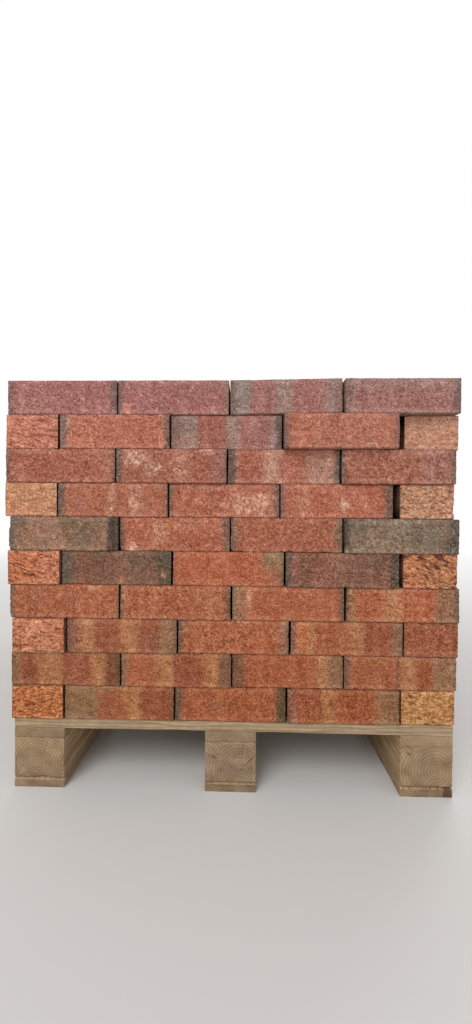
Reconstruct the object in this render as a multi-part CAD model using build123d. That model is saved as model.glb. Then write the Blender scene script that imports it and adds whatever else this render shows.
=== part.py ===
from build123d import *
from collections import namedtuple
from math import asin, degrees
import os

os.makedirs("parts", exist_ok=True)

# A pack of rustic wirecut facing bricks, laid dry on a four-way timber pallet.
# The front face looks to -Y, +X runs along it to the right and +Z is up.
# The origin lies on the floor, under the middle of the whole pack. Sizes are in millimetres.

# One brick, as laid. Two bricks and the mortar joint between them are as wide as one brick is long,
# and the height takes in the rough bed that keeps the courses apart.
BRICK_LENGTH = 215.0
MORTAR_JOINT = 10.0
BRICK_WIDTH = (BRICK_LENGTH - MORTAR_JOINT) / 2
BRICK_HEIGHT = 66.0

# The perforations that run through a wirecut brick from bed to bed: round, drawn with a few flats
HOLE_COUNT = 3
HOLE_DIAMETER = 38.0
HOLE_FLATS = 16
HOLE_SPACING = 62.0

# The stack behind the front face
HEADERS_DEEP = 5
HEADER_JOINT = 2.0
STRETCHERS_PER_HEADER = 2

# The brick of the top course that lies on a piece of grit: its column, and the rise of its far end
TILTED_COLUMN = 2
TILT_RISE = 3.5

# The courses from the bottom up. Each line gives the bond, how far the course sits to the right,
# the open joints between its columns from left to right, and how far each column stands forward.
COURSES = [
    ("header", 3.5, [2.0, 1.5, 2.5, 3.0], [0.0, -2.0, -4.0, -3.0, -6.0]),
    ("stretcher", 4.5, [2.0, 1.0, 1.0], [-2.0, -2.0, -7.0, -7.0]),
    ("header", 7.5, [3.0, 1.0, 3.0, 1.0], [6.0, 1.0, -3.0, -5.0, -4.0]),
    ("stretcher", 4.5, [2.0, 2.0, 3.5], [0.0, 0.0, -2.0, -3.0]),
    ("header", 0.0, [1.0, 2.5, 2.0, 7.5], [4.0, -2.0, -2.0, 2.0, 0.0]),
    ("stretcher", 0.5, [1.0, 1.0, 1.0], [1.0, -4.0, -3.0, 4.0]),
    ("header", -7.0, [1.0, 1.0, 1.0, 11.5], [-1.0, -2.0, -7.0, -4.0, -2.0]),
    ("stretcher", -6.0, [1.0, 1.5, 1.0], [0.0, -1.0, -4.0, 3.0]),
    ("header", -1.5, [3.0, 1.0, 1.5, 16.5], [-1.0, 0.0, -5.0, 13.0, -8.0]),
    ("stretcher", -3.0, [1.5, 1.0, 1.0], [-1.0, -1.0, -1.0, 9.0]),
]

# How unevenly the bricks behind the front one stand out of the sides, and the last ones of the back
SIDE_DRIFTS = [0.0, 1.5, 0.5, 3.0, 1.0, 2.0, 0.5]
BACK_DRIFTS = [1.0, 0.0, 2.5, 0.5, 3.5]

# Pallet: deck boards on three stringer boards, nine blocks and three skids
PALLET_INSET = 5.0
DECK_BOARD_COUNT = 7
DECK_BOARD_WIDTH = 110.0
DECK_BOARD_THICKNESS = 20.0
STRINGER_WIDTH = 100.0
STRINGER_THICKNESS = 20.0
BLOCK_WIDTH = 100.0
BLOCK_LENGTH = 140.0
BLOCK_HEIGHT = 78.0
SKID_WIDTH = 100.0
SKID_THICKNESS = 20.0
SKID_BEVEL = 6.0

ACROSS = ["left", "centre", "right"]
ALONG = ["front", "middle", "back"]

# One brick's plan: its lower left corner, its sizes along X and Y, and whether it is the tilted one
Brick = namedtuple("Brick", "x y length_x length_y tilted")

stack_depth = HEADERS_DEEP * BRICK_LENGTH + (HEADERS_DEEP - 1) * HEADER_JOINT
rows_deep = HEADERS_DEEP * STRETCHERS_PER_HEADER
row_pitch = (stack_depth - BRICK_WIDTH) / (rows_deep - 1)
header_pitch = BRICK_LENGTH + HEADER_JOINT
tilt = degrees(asin(TILT_RISE / BRICK_LENGTH))
tilt_lean = BRICK_HEIGHT * TILT_RISE / BRICK_LENGTH


def column_widths(bond, joints):
    """The width of each column on the face: stretchers, with a header at each end in a header course."""
    widths = [BRICK_LENGTH] * (len(joints) + 1)
    if bond == "header":
        widths[0] = BRICK_WIDTH
        widths[-1] = BRICK_WIDTH
    return widths


def lay_course(number, bond, shift, joints, forward):
    """Plan of one course, as columns that run from the front of the stack to its back."""
    widths = column_widths(bond, joints)
    top = number == len(COURSES)
    x = shift - (sum(widths) + sum(joints)) / 2
    bricks = []
    for column, width in enumerate(widths):
        tilted_column = top and column == TILTED_COLUMN
        if tilted_column:
            x += tilt_lean
        header = width == BRICK_WIDTH
        depth = BRICK_LENGTH if header else BRICK_WIDTH
        pitch = header_pitch if header else row_pitch
        rows = HEADERS_DEEP if header else rows_deep
        outward = {0: -1, len(widths) - 1: 1}.get(column, 0)
        for row in range(rows):
            side_drift = SIDE_DRIFTS[(row + 3 * number) % len(SIDE_DRIFTS)] if row else 0.0
            back_drift = BACK_DRIFTS[(column + number) % len(BACK_DRIFTS)] if row == rows - 1 else 0.0
            bricks.append(Brick(
                x + outward * side_drift,
                row * pitch - stack_depth / 2 - forward[column] + back_drift,
                width, depth, tilted_column and row == 0))
        x += width + (joints[column] if column < len(joints) else 0.0)
    return bricks


def block_at(x, y, z, size_x, size_y, size_z):
    """A plain block from its lowest corner and its sizes."""
    return Pos(x, y, z) * Box(size_x, size_y, size_z, align=(Align.MIN, Align.MIN, Align.MIN))


def brick_solid(brick, z, perforated):
    """One brick, with its perforations in line along its length where they show."""
    solid = block_at(brick.x, brick.y, z, brick.length_x, brick.length_y, BRICK_HEIGHT)
    if perforated:
        middle = Pos(brick.x + brick.length_x / 2, brick.y + brick.length_y / 2, z)
        holes = GridLocations(HOLE_SPACING, 0.0, HOLE_COUNT, 1) * RegularPolygon(
            HOLE_DIAMETER / 2, HOLE_FLATS, major_radius=False)
        solid -= middle * extrude(Sketch() + holes, BRICK_HEIGHT)
    if brick.tilted:
        solid = solid.rotate(Axis((brick.x, brick.y, z), (0, 1, 0)), -tilt)
    return solid


def save(name, solids):
    """One node, which may hold several solids that stand clear of each other."""
    export_step(Compound(children=solids), f"parts/{name}.step")


# Lay the courses, then move the plan so that the pack's middle is the origin
plans = [lay_course(number, *course) for number, course in enumerate(COURSES, start=1)]
every = [brick for plan in plans for brick in plan]
middle_x = (min(b.x for b in every) + max(b.x + b.length_x for b in every)) / 2
middle_y = (min(b.y for b in every) + max(b.y + b.length_y for b in every)) / 2
plans = [[b._replace(x=b.x - middle_x, y=b.y - middle_y) for b in plan] for plan in plans]

# Pallet, under the bottom course and a little inside it all round
bottom = plans[0]
pallet_left = min(b.x for b in bottom) + PALLET_INSET
pallet_right = max(b.x + b.length_x for b in bottom) - PALLET_INSET
pallet_front = min(b.y for b in bottom) + PALLET_INSET
pallet_back = max(b.y + b.length_y for b in bottom) - PALLET_INSET
pallet_width = pallet_right - pallet_left
pallet_depth = pallet_back - pallet_front
block_bottom = SKID_THICKNESS
stringer_bottom = block_bottom + BLOCK_HEIGHT
deck_bottom = stringer_bottom + STRINGER_THICKNESS
deck_top = deck_bottom + DECK_BOARD_THICKNESS


def spread(low, high, size, count):
    """The near sides of so many like things, spaced evenly from one end to the other."""
    return [low + index * (high - low - size) / (count - 1) for index in range(count)]


def make_skid(x):
    """A bottom board along the depth, bevelled at both ends so that a truck's wheels ride over it."""
    board = block_at(x, pallet_front, 0.0, SKID_WIDTH, pallet_depth, SKID_THICKNESS)
    ends = board.edges().filter_by(Axis.X).group_by(Axis.Z)[-1]
    return chamfer(ends, SKID_BEVEL)


for name, x in zip(ACROSS, spread(pallet_left, pallet_right, SKID_WIDTH, len(ACROSS))):
    save(f"skid_{name}", [make_skid(x)])

for name, x in zip(ACROSS, spread(pallet_left, pallet_right, STRINGER_WIDTH, len(ACROSS))):
    board = block_at(x, pallet_front, stringer_bottom, STRINGER_WIDTH, pallet_depth, STRINGER_THICKNESS)
    save(f"stringer_board_{name}", [board])

for side, x in zip(ACROSS, spread(pallet_left, pallet_right, BLOCK_WIDTH, len(ACROSS))):
    for place, y in zip(ALONG, spread(pallet_front, pallet_back, BLOCK_LENGTH, len(ALONG))):
        save(f"block_{place}_{side}", [block_at(x, y, block_bottom, BLOCK_WIDTH, BLOCK_LENGTH, BLOCK_HEIGHT)])

for index, y in enumerate(spread(pallet_front, pallet_back, DECK_BOARD_WIDTH, DECK_BOARD_COUNT), start=1):
    board = block_at(pallet_left, y, deck_bottom, pallet_width, DECK_BOARD_WIDTH, DECK_BOARD_THICKNESS)
    save(f"deck_board_{index}", [board])

# Bricks: only the top course shows its beds, so only its bricks have their perforations
for number, plan in enumerate(plans, start=1):
    z = deck_top + (number - 1) * BRICK_HEIGHT
    save(f"course_{number:02d}", [brick_solid(brick, z, number == len(COURSES)) for brick in plan])
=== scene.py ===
# %% [markdown]
# # A pack of rustic bricks on its pallet
# Four hundred facing bricks stand dry on a timber pallet, ten courses of forty. The construction, with
# every brick at its real size and place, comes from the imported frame. This file gives the pieces their
# looks: worn arrises, torn clay, the bands that the kiln burnt into each face, and weathered timber.

# %% Load the frame
import math
from collections import namedtuple

import bpy
import numpy as np
from mathutils import Matrix, Vector


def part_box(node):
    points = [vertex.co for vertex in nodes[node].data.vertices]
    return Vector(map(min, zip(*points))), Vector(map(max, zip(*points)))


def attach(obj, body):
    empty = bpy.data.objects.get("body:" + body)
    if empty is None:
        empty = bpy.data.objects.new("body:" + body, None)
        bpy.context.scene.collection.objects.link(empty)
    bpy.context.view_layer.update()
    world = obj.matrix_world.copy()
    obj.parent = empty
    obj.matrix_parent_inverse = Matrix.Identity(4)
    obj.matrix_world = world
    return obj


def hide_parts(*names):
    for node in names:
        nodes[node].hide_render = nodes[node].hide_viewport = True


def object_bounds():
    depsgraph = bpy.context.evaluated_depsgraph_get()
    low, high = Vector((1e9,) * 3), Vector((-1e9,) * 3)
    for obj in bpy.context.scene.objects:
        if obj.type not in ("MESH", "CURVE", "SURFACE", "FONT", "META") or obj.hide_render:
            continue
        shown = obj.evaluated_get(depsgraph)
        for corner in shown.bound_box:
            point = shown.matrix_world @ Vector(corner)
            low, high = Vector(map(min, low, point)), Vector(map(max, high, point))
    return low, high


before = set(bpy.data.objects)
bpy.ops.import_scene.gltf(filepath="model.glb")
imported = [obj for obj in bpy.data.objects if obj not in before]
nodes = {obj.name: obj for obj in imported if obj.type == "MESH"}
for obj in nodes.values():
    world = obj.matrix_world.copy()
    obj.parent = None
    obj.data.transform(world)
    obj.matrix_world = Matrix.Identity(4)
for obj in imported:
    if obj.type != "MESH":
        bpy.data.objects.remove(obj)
cad_low, cad_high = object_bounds()
scene = bpy.context.scene
print("frame:", len(nodes), "nodes, from", tuple(cad_low), "to", tuple(cad_high))

# %% [markdown]
# ## The camera
# The camera comes first, because it fixes how fine a detail has to be. It stands close to the face, so it
# is a wide lens: the lines of the courses were fitted to the view, which gave the place, the lens and
# three small turns. The matrix is a turn of the whole camera after it is stood upright, with its back to -Y.

# %% Camera
MM = 0.001
LENS_MM = 12.466
NEAREST = 0.01
CAMERA_PLACE = (28.5, -1219.5, 551.8)
CAMERA_TURNS = ((1.407, "Z"), (-0.545, "X"), (-0.405, "Y"), (90.0, "X"))

camera_data = bpy.data.cameras.new("camera")
camera_data.lens = LENS_MM
camera_data.clip_start = NEAREST
camera = bpy.data.objects.new("camera", camera_data)
scene.collection.objects.link(camera)
stance = Matrix.Translation(Vector(CAMERA_PLACE) * MM)
for degrees, axis in CAMERA_TURNS:
    stance = stance @ Matrix.Rotation(math.radians(degrees), 4, axis)
camera.matrix_world = stance
scene.camera = camera
print("camera at", tuple(round(x, 3) for x in camera.matrix_world.translation))

# %% [markdown]
# ## Small helpers for node trees
# A material is a tree of nodes. These helpers place a node with what goes into it, which is a constant or
# the output of an earlier node, so the cells below read as lists of steps from the noise to the shader.

# %% Helpers for node trees


def fill(tree, socket, value):
    """Gives a socket a constant, or a link from another node's output."""
    if isinstance(value, bpy.types.NodeSocket):
        tree.links.new(value, socket)
    else:
        socket.default_value = value


def add_node(tree, kind, *inputs, **values):
    """One node of a tree. The inputs fill its sockets in order. A named value fills the socket of that
    name, or is a property if there is none."""
    node = tree.nodes.new("ShaderNode" + kind)
    for name, value in values.items():
        socket = node.inputs.get(name.replace("_", " "))
        if socket is None:
            setattr(node, name, value)
        else:
            fill(tree, socket, value)
    for socket, value in zip(node.inputs, inputs):
        fill(tree, socket, value)
    return node


def calc(tree, operation, *inputs):
    """The result of one step of arithmetic."""
    return add_node(tree, "Math", *inputs, operation=operation).outputs["Value"]


def smooth_step(tree, value, low, high, start=0.0, end=1.0):
    """A smooth step from start to end while the value goes from low to high."""
    return add_node(tree, "MapRange", value, low, high, start, end,
                    interpolation_type="SMOOTHSTEP").outputs["Result"]


def noise_height(tree, vector, scale, detail, roughness=0.5):
    """The height of Blender's noise at a vector."""
    return add_node(tree, "TexNoise", Vector=vector, Scale=scale, Detail=detail,
                    Roughness=roughness).outputs["Fac"]


def scaled_place(tree, vector, scale):
    """A vector times a scale for each axis, which makes noise longer along one axis than another."""
    return add_node(tree, "Mapping", Vector=vector, Scale=scale).outputs["Vector"]


def new_group(name, inputs, outputs):
    """An empty node group with named sockets, each given as (name, kind, value) or (name, kind). Returns it
    with the sockets that give it its values and those that take its results."""
    group = bpy.data.node_groups.new(name, "ShaderNodeTree")
    for socket_name, kind, value in inputs:
        socket = group.interface.new_socket(socket_name, in_out="INPUT", socket_type="NodeSocket" + kind)
        if value is not None:
            socket.default_value = value
    for socket_name, kind in outputs:
        group.interface.new_socket(socket_name, in_out="OUTPUT", socket_type="NodeSocket" + kind)
    return group, group.nodes.new("NodeGroupInput").outputs, group.nodes.new("NodeGroupOutput").inputs


def use_group(tree, group, **values):
    """Places a group in a material with its own values, and returns its outputs."""
    node = add_node(tree, "Group", node_tree=group)
    for name, value in values.items():
        fill(tree, node.inputs[name], value)
    return node.outputs


def empty_tree(owner):
    """The node tree of a new material or world, without nodes."""
    owner.use_nodes = True
    owner.node_tree.nodes.clear()
    return owner.node_tree


def linear(rgb):
    """Display colours from 0 to 255 as scene colours: a share c becomes ((c + 0.055) / 1.055) to the
    power 2.4, or c / 12.92 where c is at most 0.04045."""
    share = np.asarray(rgb, float) / 255.0
    return np.where(share <= 0.04045, share / 12.92, ((share + 0.055) / 1.055) ** 2.4)


def rgba(rgb):
    """A display colour as the four numbers that a colour socket takes."""
    return (*linear(rgb), 1.0)


# %% [markdown]
# ## Floor, background and light
# The floor is a pale sheet that takes the shadow of the pack. Far from it the floor turns white for the
# camera alone, so that no horizon is seen. The light is that of a bright, overcast sky: an even world, and
# two large soft lamps, one high in front, which lets the relief of the clay show, and one behind.

# %% Floor and background
FLOOR_HALF = 14.0
FLOOR_COLOUR, FLOOR_ROUGHNESS = (214, 213, 210), 0.9
FADE_START, FADE_END = 1.3, 4.5
PLAIN_WHITE = (1.0, 1.0, 1.0, 1.0)


def floor_material():
    """A pale floor that fades to white between two distances from the pack, for the camera alone."""
    material = bpy.data.materials.new("pale_floor")
    tree = empty_tree(material)
    pale = add_node(tree, "BsdfPrincipled", Base_Color=rgba(FLOOR_COLOUR), Roughness=FLOOR_ROUGHNESS)
    white = add_node(tree, "Emission", Color=PLAIN_WHITE, Strength=1.0)
    where = add_node(tree, "TexCoord").outputs["Object"]
    length = add_node(tree, "VectorMath", where, operation="LENGTH").outputs["Value"]
    fade = add_node(tree, "MapRange", length, FADE_START, FADE_END).outputs["Result"]
    share = calc(tree, "MULTIPLY", fade, add_node(tree, "LightPath").outputs["Is Camera Ray"])
    mix = add_node(tree, "MixShader", share, pale.outputs["BSDF"], white.outputs["Emission"])
    add_node(tree, "OutputMaterial", mix.outputs["Shader"])
    return material


floor_corners = [(x * FLOOR_HALF, y * FLOOR_HALF, 0) for x, y in ((-1, -1), (1, -1), (1, 1), (-1, 1))]
floor_mesh = bpy.data.meshes.new("floor")
floor_mesh.from_pydata(floor_corners, [], [(0, 1, 2, 3)])
floor_mesh.materials.append(floor_material())
floor = bpy.data.objects.new("floor", floor_mesh)
scene.collection.objects.link(floor)

# %% World and lamps
WORLD_STRENGTH = 0.72
SKY_COLOUR = (0.97, 0.985, 1.0, 1.0)
LAMPS = {"soft_key": ((-1.6, -3.4, 3.6), 2.2, 95.0), "soft_back": ((2.6, 3.0, 3.2), 2.6, 60.0)}


def set_world():
    """An even pale sky for the light, and plain white for what the camera, gloss and glass see."""
    world = bpy.data.worlds.new("sky")
    tree = empty_tree(world)
    light = add_node(tree, "Background", Color=SKY_COLOUR, Strength=WORLD_STRENGTH)
    white = add_node(tree, "Background", Color=PLAIN_WHITE, Strength=1.0)
    rays = add_node(tree, "LightPath").outputs
    seen = calc(tree, "MAXIMUM", rays["Is Camera Ray"], rays["Is Glossy Ray"])
    seen = calc(tree, "MAXIMUM", seen, rays["Is Transmission Ray"])
    mix = add_node(tree, "MixShader", seen, light.outputs["Background"], white.outputs["Background"])
    add_node(tree, "OutputWorld", mix.outputs["Shader"])
    scene.world = world


def add_lamp(name, place, size, power):
    """A square soft lamp that looks at the middle of the pack. Its light falls with the square of the
    distance."""
    data = bpy.data.lights.new(name, "AREA")
    data.shape = "SQUARE"
    data.size = size
    data.energy = power
    lamp = bpy.data.objects.new(name, data)
    lamp.location = place
    lamp.rotation_mode = "QUATERNION"
    lamp.rotation_quaternion = ((cad_low + cad_high) / 2 - Vector(place)).to_track_quat("-Z", "Y")
    scene.collection.objects.link(lamp)


set_world()
for name, (place, size, power) in LAMPS.items():
    add_lamp(name, place, size, power)
scene.view_settings.view_transform = "Standard"
print("stage and", len(LAMPS), "lamps are set")

# %% [markdown]
# ## Noise from whole numbers
# Clay is torn by the wire and burnt by the fire, and neither repeats. Blender's own textures can't be read
# point by point in time for half a million points, so the noise is worked out here with numpy. Every point
# of a lattice gets a random share from a hash of its three whole numbers, and a place between them gets a
# smooth mix of the eight around it. The same place gives the same value in each run. A kind of noise is
# written as the size of its cells in millimetres, one for all axes or one for each, its seed, the number
# of its layers and, where only its peaks count, the bounds between which they rise.

# %% Noise
Noise = namedtuple("Noise", "size seed layers low high", defaults=[1, None, None])
STEP_X, STEP_Y, STEP_Z, STEP_SEED, STIR = 374761393, 668265263, 2246822519, 974711, 1274126177
WORD = 2 ** 32
LATTICE_SHIFT = 4096.0


def hashed(i, j, k, seed):
    """A share from 0 to 1 for each whole-number point: its three numbers times large odd numbers are added,
    then shifted over themselves and multiplied again, and the remainder below two to the 32 is the share."""
    mixed = i * np.uint32(STEP_X) + j * np.uint32(STEP_Y) + k * np.uint32(STEP_Z)
    mixed = mixed + np.uint32(seed * STEP_SEED % WORD)
    mixed = (mixed ^ (mixed >> np.uint32(13))) * np.uint32(STIR)
    mixed = (mixed ^ (mixed >> np.uint32(15))) * np.uint32(STEP_Z)
    return (mixed ^ (mixed >> np.uint32(16))).astype(np.float64) / WORD


def cloud(points, size, seed):
    """Noise from 0 to 1 at each point. The point over the size falls in a cell of the lattice, at a share t
    of its width, and the eight corners' shares are mixed by 3 t squared less 2 t cubed along each axis."""
    place = points / size + LATTICE_SHIFT
    cell = np.floor(place)
    t = place - cell
    t = t * t * (3.0 - 2.0 * t)
    whole = cell.astype(np.int64).astype(np.uint32)
    total = np.zeros(len(points))
    for corner in range(8):
        step = np.array([corner & 1, corner >> 1 & 1, corner >> 2 & 1], np.uint32)
        share = np.where(step == 1, t, 1.0 - t).prod(axis=1)
        total += share * hashed(*(whole + step).T, seed)
    return total


def ramp(value, low, high):
    """0 below low, 1 above high, and a smooth step between them."""
    t = np.clip((value - low) / (high - low), 0.0, 1.0)
    return t * t * (3.0 - 2.0 * t)


def noise(points, kind):
    """Noise of a kind, from 0 to 1. Each further layer has half the size and half the weight. Where the kind
    has bounds, the noise goes through a ramp between them."""
    total = weight = 0.0
    for layer in range(kind.layers):
        finer = 2 ** layer
        total = total + cloud(points, np.asarray(kind.size, float) / finer, kind.seed + layer) / finer
        weight += 1 / finer
    total = total / weight
    return total if kind.low is None else ramp(total, kind.low, kind.high)


def swing(points, kind):
    """Noise of a kind about zero, from -0.5 to 0.5."""
    return noise(points, kind) - 0.5


# %% [markdown]
# ## Finding the bricks
# A course is one node with forty bricks, as loose triangles. Corners at the same place are merged, and the
# label of every corner then sinks to the lowest label that it shares a triangle with, until nothing
# changes. What keeps one label is one brick, and its box gives its place and size. A brick whose box is
# taller than the course lies on a piece of grit, and the extra height over its length is its slope.

# %% Find the bricks
Brick = namedtuple("Brick", "centre size lean seed")
BRICK_LONG, BRICK_SHORT, BRICK_HIGH = 215.0, 102.5, 66.0
LEAN_LEAST = 0.5
COURSES = {number: f"course_{number:02d}" for number in range(1, 11)}
TOP_COURSE = max(COURSES)


def merged(node):
    """The node's corners in millimetres with equal ones merged, and its triangles as three indices each."""
    mesh = nodes[node].data
    mesh.calc_loop_triangles()
    corners = np.empty(len(mesh.vertices) * 3)
    mesh.vertices.foreach_get("co", corners)
    triangles = np.empty(len(mesh.loop_triangles) * 3, np.int64)
    mesh.loop_triangles.foreach_get("vertices", triangles)
    places, same = np.unique(np.round(corners.reshape(-1, 3) / MM, 3), axis=0, return_inverse=True)
    return places, same.reshape(-1)[triangles].reshape(-1, 3)


def islands(places, triangles):
    """One label for each corner: the lowest index among the corners that triangles join it to."""
    label = np.arange(len(places))
    while True:
        lowest = label[triangles].min(axis=1)
        sunk = label.copy()
        np.minimum.at(sunk, triangles.reshape(-1), np.repeat(lowest, 3))
        if np.array_equal(sunk, label):
            return label
        label = sunk


def find_bricks(node, course):
    """The bricks of a course, from the boxes of its islands, front row first and then from left to right."""
    places, triangles = merged(node)
    label = islands(places, triangles)
    bricks = []
    for island in np.unique(label):
        corners = places[label == island]
        low, high = corners.min(axis=0), corners.max(axis=0)
        size = high - low
        rise = size[2] - BRICK_HIGH
        lean = rise / BRICK_LONG if rise > LEAN_LEAST else 0.0
        if lean:
            size = np.array([BRICK_LONG, BRICK_SHORT, BRICK_HIGH])
        bricks.append(Brick((low + high) / 2, size, lean, 0))
    near = [brick.centre[1] - brick.size[1] / 2 for brick in bricks]
    in_front = min(near) + BRICK_SHORT / 2
    keys = [(y > in_front, brick.centre[0], brick.centre[1]) for y, brick in zip(near, bricks)]
    order = sorted(range(len(bricks)), key=keys.__getitem__)
    return [bricks[old]._replace(seed=1000 * course + new) for new, old in enumerate(order)]


bricks_of = {number: find_bricks(node, number) for number, node in COURSES.items()}
print("bricks:", {number: len(bricks) for number, bricks in bricks_of.items()})

# %% [markdown]
# ## The skin of a brick
# A brick is six grids that share their edges. The grid lines stand close together near an arris, where the
# clay is worn round, and further apart on a face. A face that no one sees is one flat polygon. The shape is
# then one formula for all points: each is pulled to the nearest point of a smaller box inside the brick,
# and pushed out again by the radius of the wear, which makes every edge and corner round at once.

# %% Grid lines
ARRIS_LINES, PLAIN_LINES = (0.0, 0.9, 2.1, 3.8), (0.0,)
NO_STEP = 1000.0


def grid_lines(length, step, fine_low=True, fine_high=True, through=()):
    """Places of the grid lines along one side, from minus half its length to plus half. Near a fine end they
    stand at the arris distances, and between them, and the places that they pass through, evenly."""
    low = np.array(ARRIS_LINES if fine_low else PLAIN_LINES) - length / 2
    high = length / 2 - np.array(ARRIS_LINES if fine_high else PLAIN_LINES)[::-1]
    stops = [low[-1], *through, high[0]]
    between = []
    for start, end in zip(stops, stops[1:]):
        count = max(1, round((end - start) / step))
        between.append(np.linspace(start, end, count + 1)[:-1])
    return np.concatenate([low[:-1], *between, high])


# %% Box skin
Skin = namedtuple("Skin", "points loops starts plane")


class Weaver:
    """Collects the polygons of one skin, and the side of the box that each of their corners lies on."""

    def __init__(self):
        self.loops, self.counts, self.planes = [], [], []

    def add(self, polygons, side):
        """Adds polygons of one size, as an array with their corners' indices in its last axis."""
        size = polygons.shape[-1]
        self.loops.append(polygons.reshape(-1))
        self.counts.append(np.full(polygons.size // size, size))
        self.planes.append(np.full(polygons.size, side))

    def finished(self):
        """All corners, the number of corners of each polygon, and the side at each corner."""
        return [np.concatenate(part) for part in (self.loops, self.counts, self.planes)]


def side_grid(lines, side):
    """Indices of the lattice points on one side, as an array over its two axes. Side 2a is the low end of
    axis a and 2a + 1 is the high end."""
    axis, end = divmod(side, 2)
    counts = [len(line) for line in lines]
    across, up = (axis + 1) % 3, (axis + 2) % 3
    at = [None] * 3
    at[axis] = np.full((counts[across], counts[up]), (counts[axis] - 1) * end)
    at[across], at[up] = np.meshgrid(np.arange(counts[across]), np.arange(counts[up]), indexing="ij")
    return (at[0] * counts[1] + at[1]) * counts[2] + at[2]


def cells_of(grid):
    """The four corners of each cell of a grid, turning from its first axis to its second."""
    return np.stack([grid[:-1, :-1], grid[1:, :-1], grid[1:, 1:], grid[:-1, 1:]], axis=-1)


def rim_of(grid):
    """What lies round the edge of a grid, turning from its first axis to its second."""
    return np.concatenate([grid[:-1, 0], grid[-1, :-1], grid[:0:-1, -1], grid[0, :0:-1]])


def box_skin(lines, hidden=(), holes=()):
    """The closed surface of a box as grids over two of its three axes, on the given lines. Points are
    numbered on the whole lattice first, and those that no side uses are then dropped. A hidden side is one
    polygon. A box with holes gets its beds from the next cell."""
    weaver = Weaver()
    lattice = np.stack(np.meshgrid(*lines, indexing="ij"), axis=-1).reshape(-1, 3)
    for side in range(4 if holes else 6):
        grid = side_grid(lines, side)
        polygons = rim_of(grid) if side in hidden else cells_of(grid)
        weaver.add(polygons if side % 2 else polygons[..., ::-1], side)
    if holes:
        lattice = np.concatenate([lattice, *perforated_beds(weaver, lines, len(lattice), holes)])
    loops, counts, planes = weaver.finished()
    used, loops = np.unique(loops, return_inverse=True)
    return Skin(lattice[used], loops.reshape(-1), np.cumsum(counts) - counts, planes)


# %% [markdown]
# ## The perforations
# Each brick of the top course shows its three round holes. In the grid of the bed a square of cells is
# taken out round each hole, and rings take its place that turn from the square to the circle, so the grid
# and the round edge meet without a seam. The wall is the same circle carried down to the lower bed.

# %% Perforated beds
HOLE_RADIUS, HOLE_PITCH = 19.0, 62.0
HOLES = (-HOLE_PITCH, 0.0, HOLE_PITCH)
HOLE_SQUARE, HOLE_STEPS = 25.0, 10
RIM_WEAR = 1.1
RING_SHARES = (0.4, 0.75, 1.0)
WALL_DEPTHS = (1.2, 3.0, 8.0, 20.0, BRICK_HIGH)
WALL_SIDE = 6


def hole_levels(offset, top):
    """The rings of one hole from its square down, each with its height: first on the bed, where a ring's
    point is p (1 - t) + c t, with p on the square, c in line with it on the circle and t the ring's share,
    and then on the wall."""
    circle = offset / np.linalg.norm(offset, axis=1, keepdims=True)
    levels = [(offset * (1 - t) + circle * (HOLE_RADIUS + RIM_WEAR) * t, top) for t in RING_SHARES]
    return levels + [(circle * HOLE_RADIUS, top - depth) for depth in WALL_DEPTHS]


def perforated_beds(weaver, lines, count, holes):
    """Adds the upper and lower beds with their holes, and returns the new points. The lower bed is two
    polygons that meet on the line through the holes."""
    xs, ys, zs = lines
    top, bottom = side_grid(lines, 5), side_grid(lines, 4)
    flat_places = np.stack(np.meshgrid(xs, ys, indexing="ij"), axis=-1)
    keep = np.ones((len(xs) - 1, len(ys) - 1), bool)
    extra, lower_rims = [], []
    j0 = int(np.argmin(np.abs(ys + HOLE_SQUARE)))
    for hole_x in holes:
        i0 = int(np.argmin(np.abs(xs - hole_x + HOLE_SQUARE)))
        keep[i0:i0 + HOLE_STEPS, j0:j0 + HOLE_STEPS] = False
        square = np.s_[i0:i0 + HOLE_STEPS + 1, j0:j0 + HOLE_STEPS + 1]
        ring = rim_of(top[square])
        offset = rim_of(flat_places[square]) - (hole_x, 0.0)
        for level, (flat, z) in enumerate(hole_levels(offset, zs[-1])):
            new = np.arange(len(flat)) + count
            count += len(flat)
            extra.append(np.column_stack([flat[:, 0] + hole_x, flat[:, 1], np.full(len(flat), z)]))
            band = np.stack([ring, np.roll(ring, -1), np.roll(new, -1), new], axis=-1)
            weaver.add(band, 5 if level < len(RING_SHARES) else WALL_SIDE)
            ring = new
        lower_rims.append(ring)
    weaver.add(cells_of(top)[keep], 5)
    middle = len(ys) // 2
    round_trip = HOLE_STEPS * 4
    start = HOLE_STEPS + HOLE_STEPS // 2
    first_half = np.arange(start, start + round_trip // 2 + 1) % round_trip
    second_half = np.arange(start + round_trip // 2, start + round_trip + 1) % round_trip
    near = [bottom[0, middle::-1], bottom[1:, 0], bottom[-1, 1:middle + 1]]
    far = [bottom[-1, middle:], bottom[-2::-1, -1], bottom[0, -2:middle - 1:-1]]
    near += [rim[second_half][::-1] for rim in lower_rims[::-1]]
    far += [rim[first_half][::-1] for rim in lower_rims]
    for outline in (near, far):
        weaver.add(np.concatenate(outline)[::-1], 4)
    return extra


# %% [markdown]
# ## How finely each brick is gridded
# The front face is seen from close by, so its grid is about as fine as a pixel of the view. Coarse headers
# need it finer than the dragged stretchers. The sides, the back and the beds on top are gridded more
# widely, and a brick inside the pack only gets its rounded edges.

# %% Grid each brick
FRONT_STEP, COARSE_STEP, OTHER_STEP, BED_STEP = 2.4, 1.6, 5.2, 4.6
EDGE_REACH = 30.0
TOUCH = 0.01


def is_header(brick):
    """Whether a brick shows its end at the front."""
    return brick.size[1] > brick.size[0]


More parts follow.
